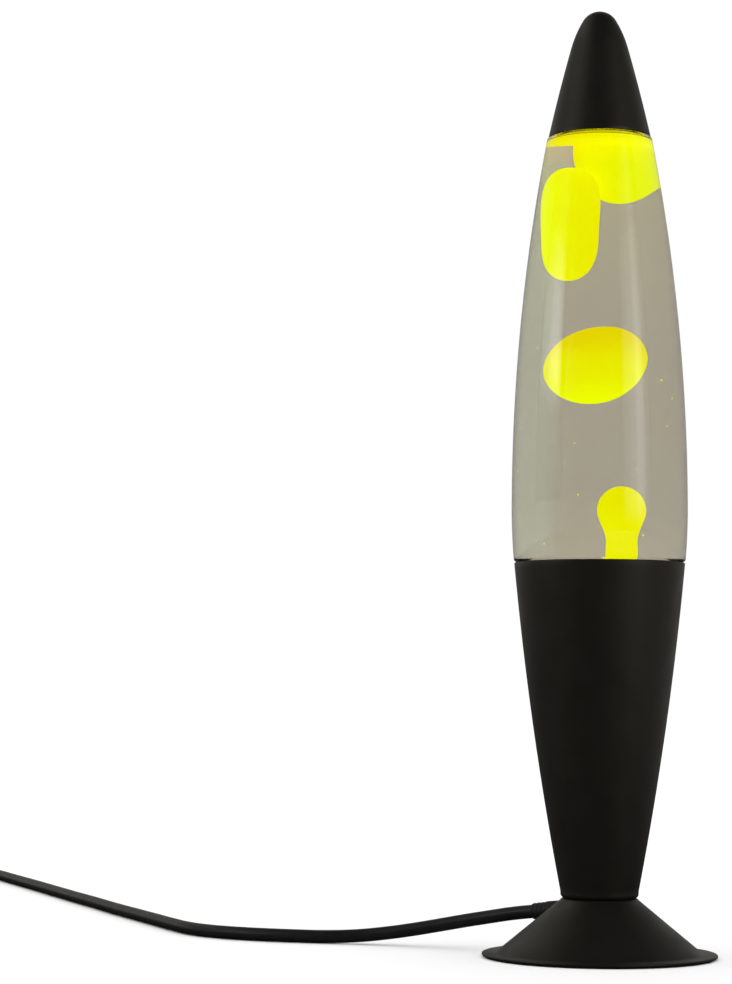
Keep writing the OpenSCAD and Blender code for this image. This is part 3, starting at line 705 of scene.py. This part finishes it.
def make_middle_blob():
    shape = bmesh.new()
    tilted = Matrix.Translation((-1.15, 0, 259.4)) @ Matrix.Rotation(math.radians(45), 4, "Y")
    add_lathe(shape, egg(15.6, 18.2, -0.05, 2), WAX_STEPS, False, tilted)
    wobble(shape, 0.4, 14, 3)
    stand_for(new_object("middle_wax", shape), "middle_wax", ["wax_middle_blob"],
              wax_with_painted_glow("glowing_wax_middle", 240, 274))


def make_upper_blob():
    shape = bmesh.new()
    place = Matrix.Translation((-11, -7, 321.4))
    add_lathe(shape, egg(11, 25.3, 0.11, 4), WAX_STEPS, False, place)
    wobble(shape, 0.3, 14, 7)
    stand_for(new_object("upper_wax", shape), "upper_wax", ["wax_upper_blob"],
              wax_with_painted_glow("glowing_wax_upper", -26, 16, "X"))


def make_pool():
    """The pool at the bottom, and the column with a round head that rises from it."""
    stalk = points((0, 150), (20, 150), (14, 155), (9, 161), (6.6, 167), (5.5, 173), (5.5, 177),
                   (5.25, 182.5), (5.8, 185.8), (7.2, 190.2))
    column = stalk + oval(8.3, 10.5, 195.5, -24, 84, 6) + points((0, 206))
    pool = points((0, 137), (27, 137), (30, 141), (31, 152.5), (0, 152.5))
    placed = [(pool, Matrix.Identity(4)), (column, Matrix.Translation((7.4, -3, 0)))]
    stand_for(fused("wax_pool_and_column", placed), "globe", ["wax_pool"],
              wax_with_painted_glow("glowing_wax_column", 110, 255))


def make_ceiling():
    """The layer that fills the bottle's shoulder, and the lobe that hangs from it."""
    lobe = points((0, -25.9)) + oval(14.7, 25.9, 0, -87, 0, 3) + points((12, 3), (0, 3))
    tilted = Matrix.Translation((7, 6, 357)) @ Matrix.Rotation(math.radians(4), 4, "Y")
    root = points((0, CEILING_Z + 0.3), (17, CEILING_Z + 0.3), (15, 362), (10, 364), (0, 364))
    made = fused("wax_ceiling_and_lobe", [(root, Matrix.Identity(4)), (lobe, tilted)])
    keep_inside(made)
    full = [p for p in inner_outline(-0.08, FILL_Z - 0.2) if p.y > CEILING_Z + 0.1]
    layer = lathe("layer", points((0, CEILING_Z), (full[0].x - 0.3, CEILING_Z)) + full, 192, False)
    combine(made, layer, "UNION")
    stand_for(made, "globe", ["wax_ceiling"],
              wax_with_painted_glow("glowing_wax_ceiling", 20, -60, "X", 1.5))


# Place across the front, height and radius of each crumb
SPECKS = [
    (25.8, 251.4, 0.6), (30.2, 244, 0.35), (28.2, 231.5, 0.35), (-10.5, 223, 0.3), (15.7, 212, 0.3),
    (-34, 212.6, 0.35), (-9, 200.7, 0.35), (18, 183.5, 0.4), (-26, 266, 0.3), (-33, 231, 0.3),
    (-23, 180, 0.35),
]


def make_specks():
    """Crumbs of wax that stick to the inside of the glass."""
    shape = bmesh.new()
    for across, height, radius in SPECKS:
        reach = wall_radius(height) - radius - 0.3
        place = Matrix.Translation((across, -math.sqrt(reach * reach - across * across), height))
        bmesh.ops.create_icosphere(shape, subdivisions=2, radius=radius, matrix=place)
    wobble(shape, 0.12, 0.5, 11)
    stand_for(new_object("wax_specks", shape, 180), "globe", [],
              wax_with_painted_glow("glowing_wax_specks", 100, 300))


make_middle_blob()
make_upper_blob()
make_pool()
make_ceiling()
make_specks()

# ---------------------------------------------------------------- switch and plug

SWITCH_LEN, SWITCH_R, SWITCH_TOP, ROCKER_Z = 66, 12, 15.1, 12.4
ROCKER_TIP = math.radians(8)
# The flat part of the plug, its tapered sleeve behind that, and the distance between its pins
PLUG_LEN, PLUG_RELIEF, PIN_GAP = 20, 24, 19
PLUG_STRAIGHT = 10.8


def pill(half_straight, radius, steps=20):
    """A long round-ended outline, along Y."""
    far = arc((0, half_straight), radius, 0, 180, steps)
    near = arc((0, -half_straight), radius, 180, 360, steps)
    return far + near


def add_stack(shape, layers):
    """A closed solid through rings of equally many points, given as Vectors in space."""
    rings = [[shape.verts.new(place) for place in layer] for layer in layers]
    count = len(rings[0])
    for low, high in zip(rings, rings[1:]):
        for i in range(count):
            j = (i + 1) % count
            shape.faces.new([low[i], low[j], high[j], high[i]])
    shape.faces.new(list(reversed(rings[0])))
    shape.faces.new(rings[-1])


def switch_half(name, profile, cuts):
    """Half of the switch's case from steps of (inset, height), less boxes of (size, place)."""
    shape = bmesh.new()
    straight = SWITCH_LEN / 2 - SWITCH_R
    at = Vector((SWITCH_X, SWITCH_Y, 0))
    add_stack(shape, [[at + Vector((p.x, p.y, height)) for p in pill(straight, SWITCH_R - inset)]
                      for inset, height in profile])
    made = new_object(name, shape, 50)
    for size, place in cuts:
        box = bmesh.new()
        sized = Matrix.Translation(at + Vector(place)) @ Matrix.Diagonal((*size, 1))
        bmesh.ops.create_cube(box, size=1, matrix=sized)
        combine(made, new_object("cutter", box), "DIFFERENCE")
    return made


def make_switch():
    """The two halves of the case, with a fine groove between them, a way for the flex and the
    rocker's window."""
    lower = [(1.7, 0), (0.9, 0.15), (0.3, 0.6), (0, 1.3), (0, SWITCH_HALF - 0.35),
             (0.25, SWITCH_HALF - 0.02)]
    upper = [(0.25, SWITCH_HALF + 0.02), (0, SWITCH_HALF + 0.35), (0, 12.3), (0.35, 13.6), (1.1, 14.5),
             (2.1, 14.95), (3.2, SWITCH_TOP)]
    bore = ((5.4, 80, 5.4), (0, 0, SWITCH_HALF))
    window = ((8.4, 14.8, 9), (0, 0, 14))
    for level, profile, cuts in (("lower", lower, [bore]), ("upper", upper, [bore, window])):
        half = switch_half("switch_case_" + level, profile, cuts)
        stand_for(half, "base", ["switch_" + level], PLASTIC)


def make_rocker():
    """The rocker, tipped to "off": a dished bar that turns about the axis through its middle."""
    shape = bmesh.new()
    side = points((-6.1, 3.25), (-6.6, 2.8), (-6.6, -0.5), (-3, -3.3), (3, -3.3), (6.6, -0.5),
                  (6.6, 2.8), (6.1, 3.25), (3.2, 2.55), (0, 2.25), (-3.2, 2.55))
    layers = []
    for across, less in ((-3.9, 0.35), (-3.55, 0), (3.55, 0), (3.9, 0.35)):
        scale = 1 - less / 6.6
        layers.append([Vector((across, p.x * scale, p.y * scale)) for p in side])
    add_stack(shape, layers)
    place = Matrix.Translation((SWITCH_X, SWITCH_Y, ROCKER_Z)) @ Matrix.Rotation(ROCKER_TIP, 4, "X")
    bmesh.ops.transform(shape, matrix=place, verts=shape.verts)
    key = new_object("rocker_key", shape, 40)
    stand_for(key, "rocker", ["switch_rocker"], GLOSSY_PLASTIC)


def make_plug():
    """Flat two-pin plug: a soft oval body, ribs for the fingers and a tapered sleeve round the flex."""
    shape = bmesh.new()
    at = Vector((SWITCH_X, PLUG_Y, PLUG_HALF))
    flat = [Vector((p.y, p.x)) for p in pill(PLUG_STRAIGHT, PLUG_HALF - 0.05, 24)]
    spread = [Vector((p.y, p.x)).normalized() for p in pill(PLUG_STRAIGHT, PLUG_HALF, 24)]

    def layer(ring, along, wide, high):
        return [at + Vector((p.x * wide, along, p.y * high)) for p in ring]

    body = [(0, 0.86), (0.5, 0.95), (1.4, 1)]
    for rib in range(4):
        low = 8.5 + rib * 2.6
        body += [(low, 1), (low + 0.4, 0.965), (low + 1.3, 0.965), (low + 1.7, 1)]
    body += [(PLUG_LEN - 0.2, 0.98)]
    layers = [layer(flat, along, scale, scale) for along, scale in body]
    sleeve = [(1.4, 13.5, 5.9), (4, 8.6, 5), (7.5, 5.4, 4.5), (11, 4.5, 4.3), (12, 4.1, 4.1)]
    for groove in range(4):
        low = 12.8 + groove * 2.6
        sleeve += [(low, 3.55, 3.55), (low + 0.9, 3.55, 3.55), (low + 1.1, 4.05, 4.05),
                   (low + 2.2, 4.05, 4.05)]
    sleeve += [(PLUG_RELIEF - 0.2, 3.5, 3.5)]
    layers += [layer(spread, PLUG_LEN + back, wide, high) for back, wide, high in sleeve]
    add_stack(shape, layers)
    round_pin = points((0, -10), (1.6, -10), (1.85, -9.8), (1.9, -9.4), (1.9, 0.4), (0, 0.4))
    forwards = Matrix.Rotation(math.radians(-90), 4, "X")
    for side in (-1, 1):
        place = Matrix.Translation(at + Vector((side * PIN_GAP / 2, 0, 0)))
        add_lathe(shape, round_pin, 32, False, place @ forwards)
    stand_for(new_object("plug_moulding", shape, 40), "base", ["plug_body"], PLASTIC)


make_switch()
make_rocker()
make_plug()

on_lead = [frame["nodes"][n] for n in ("strain_relief", "coil_tie", "switch_screws", "plug_pins")]
on_lead += [bpy.data.objects[n] for n in ("switch_case_lower", "switch_case_upper", "rocker_key",
                                          "plug_moulding")]

# ---------------------------------------------------------------- floor, world and lights


FLOOR_HALF = 6000
# Colour that the lamp's gloss shows of the floor: under the lamp and from 0.7 m to its right
FLOOR_GLOSS = [(0, (0.03, 0.029, 0.027)), (1, (0.18, 0.17, 0.165))]


def make_stage():
    """A pale floor that the lamp's gloss sees as dark."""
    shape = bmesh.new()
    bmesh.ops.create_grid(shape, x_segments=8, y_segments=8, size=FLOOR_HALF)
    floor = new_object("floor", shape)
    made = Material("pale_floor", (0.9, 0.9, 0.9), 0.9)
    made.to(made.bumped(made.noise(30), 0.05), "Normal")
    seen_in_gloss = made.blend(made.spread(made.along("X"), 0, 1, 0.1, 0.7), FLOOR_GLOSS)
    dark = made.add("ShaderNodeBsdfDiffuse", {"Color": seen_in_gloss})
    mix = made.add("ShaderNodeMixShader", {"Fac": reflected(made.add), 1: made.shader.outputs["BSDF"],
                                           2: dark.outputs["BSDF"]})
    output = made.data.node_tree.nodes["Material Output"]
    made.data.node_tree.links.new(mix.outputs["Shader"], output.inputs["Surface"])
    dress(floor, made.data)


# Colours that the camera sees: behind the lamp, and to its right above and below the horizon
BACKDROP, WALL, WALL_FOOT = (1.02, 1.02, 1.02, 1), (1.07, 1.08, 1.07, 1), (1.1, 1.2, 1.18, 1)
GLOSS_COLOUR = (1, 0.975, 0.93, 1)
# Brightness in the gloss, of the left wall below and above, the right wall, the backdrop and the rest
LEFT_LOW, LEFT_HIGH, RIGHT, BEHIND, REST = 0.32, 0.7, 0.17, 0.3, 0.025
ROOM_LIGHT = 1.3


def make_world():
    """White behind the lamp and round the floor. What the gloss reflects is dark in front and lighter
    at the sides."""
    world = bpy.data.worlds.new("studio")
    bpy.context.scene.world = world
    world.use_nodes = True
    nodes, links = world.node_tree.nodes, world.node_tree.links

    def add(kind, inputs=None, **settings):
        made = nodes.new(kind)
        for key, value in settings.items():
            setattr(made, key, value)
        for key, value in (inputs or {}).items():
            if isinstance(value, bpy.types.NodeSocket):
                links.new(value, made.inputs[key])
            else:
                made.inputs[key].default_value = value
        return made

    def ranged(value, start, end, top):
        """A smooth rise from 0 at start to top at end."""
        limits = {"Value": value, "From Min": start, "From Max": end, "To Min": 0, "To Max": top}
        return add("ShaderNodeMapRange", limits, interpolation_type="SMOOTHSTEP").outputs["Result"]

    def blend(factor, first, second):
        # Sockets 6 and 7 and output 2 are a colour mix's A, B and result
        return add("ShaderNodeMix", {"Factor": factor, 6: first, 7: second}, data_type="RGBA").outputs[2]

    def choose(factor, first, second):
        shaders = {"Fac": factor, 1: first.outputs[0], 2: second.outputs[0]}
        return add("ShaderNodeMixShader", shaders)

    directions = add("ShaderNodeTexCoord").outputs["Generated"]
    towards = add("ShaderNodeSeparateXYZ", {"Vector": directions}).outputs
    low_left = arithmetic(add, "MULTIPLY", ranged(towards["X"], -0.42, -0.95, LEFT_LOW),
                          ranged(towards["Z"], 0.44, 0.28, 1))
    high_left = arithmetic(add, "MULTIPLY", ranged(towards["X"], -0.4, -0.75, LEFT_HIGH),
                           ranged(towards["Z"], 0.48, 0.62, 1))
    strength = REST
    for part in (low_left, high_left, ranged(towards["X"], 0.55, 0.95, RIGHT),
                 ranged(towards["Y"], 0.2, 0.9, BEHIND)):
        strength = arithmetic(add, "ADD", part, strength)
    gloss = add("ShaderNodeBackground", {"Color": GLOSS_COLOUR, "Strength": strength})
    soft = add("ShaderNodeBackground", {"Color": (1, 1, 1, 1), "Strength": ROOM_LIGHT})
    wall = blend(ranged(towards["Z"], 0.13, 0.07, 1.0), WALL, WALL_FOOT)
    tint = blend(ranged(towards["X"], 0.2, 0.42, 1.0), BACKDROP, wall)
    seen = nodes["Background"]
    links.new(tint, seen.inputs["Color"])
    sharp = choose(reflected(add), seen, gloss)
    shown = choose(add("ShaderNodeLightPath").outputs["Is Diffuse Ray"], sharp, soft)
    links.new(shown.outputs["Shader"], nodes["World Output"].inputs["Surface"])


STRIP_AWAY = 1.5


def soft_strip(name, azimuth, width, low, high, radiance, across, along):
    """A tall diffuser at an azimuth to the right of the lamp's front, in metres. Stops of (position,
    brightness) say how it fades from its left edge to its right, and from its bottom to its top."""
    angle = math.radians(azimuth)
    away = Vector((math.sin(angle), -math.cos(angle), 0))
    shape = bmesh.new()
    bmesh.ops.create_grid(shape, x_segments=1, y_segments=1, size=500)
    panel = new_object(name, shape)
    middle = Matrix.Translation(away * STRIP_AWAY + Vector((0, 0, (low + high) / 2)))
    facing = away.to_track_quat("Z", "Y").to_matrix().to_4x4()
    panel.matrix_world = middle @ facing @ Matrix.Diagonal((width, high - low, 1, 1))
    made = Material(name, (0, 0, 0), 1.0)

    def fade(axis, stops):
        grey = [(position, (value, value, value)) for position, value in stops]
        return made.blend(made.spread(made.along(axis), 0, 1, -0.5, 0.5), grey)

    glow = made.add("ShaderNodeMix", {"Factor": 1.0, 6: fade("X", across), 7: fade("Y", along)},
                    data_type="RGBA", blend_type="MULTIPLY")
    made.to(glow.outputs[2], "Emission Color")
    made.shader.inputs["Emission Strength"].default_value = radiance
    dress(panel, made.data)
    panel.visible_camera = False
    panel.visible_transmission = False
    panel.visible_diffuse = False
    panel.visible_shadow = False


make_stage()
make_world()
soft_strip(
    "left_strip", azimuth=-70, width=1.2, low=0.3, high=1.4, radiance=3.9,
    across=[(0.0, 0), (0.15, 0.25), (0.34, 0.45), (0.52, 0.85), (0.67, 1), (0.77, 0.7), (0.9, 0)],
    along=[(0.0, 0), (0.17, 0.1), (0.28, 1), (0.42, 0.9), (0.5, 0.4), (0.58, 0.05), (1.0, 0)])
soft_strip(
    "right_strip", azimuth=50, width=1.2, low=0.15, high=1.3, radiance=2.8,
    across=[(0.0, 0), (0.2, 0.3), (0.4, 0.55), (0.58, 1), (0.68, 0.8), (0.8, 0.25), (1.0, 0)],
    along=[(0.0, 0), (0.15, 0.9), (0.5, 1), (0.66, 0.75), (0.78, 0.2), (1.0, 0)])
bpy.context.scene.view_settings.view_transform = "Standard"

bpy.context.view_layer.update()
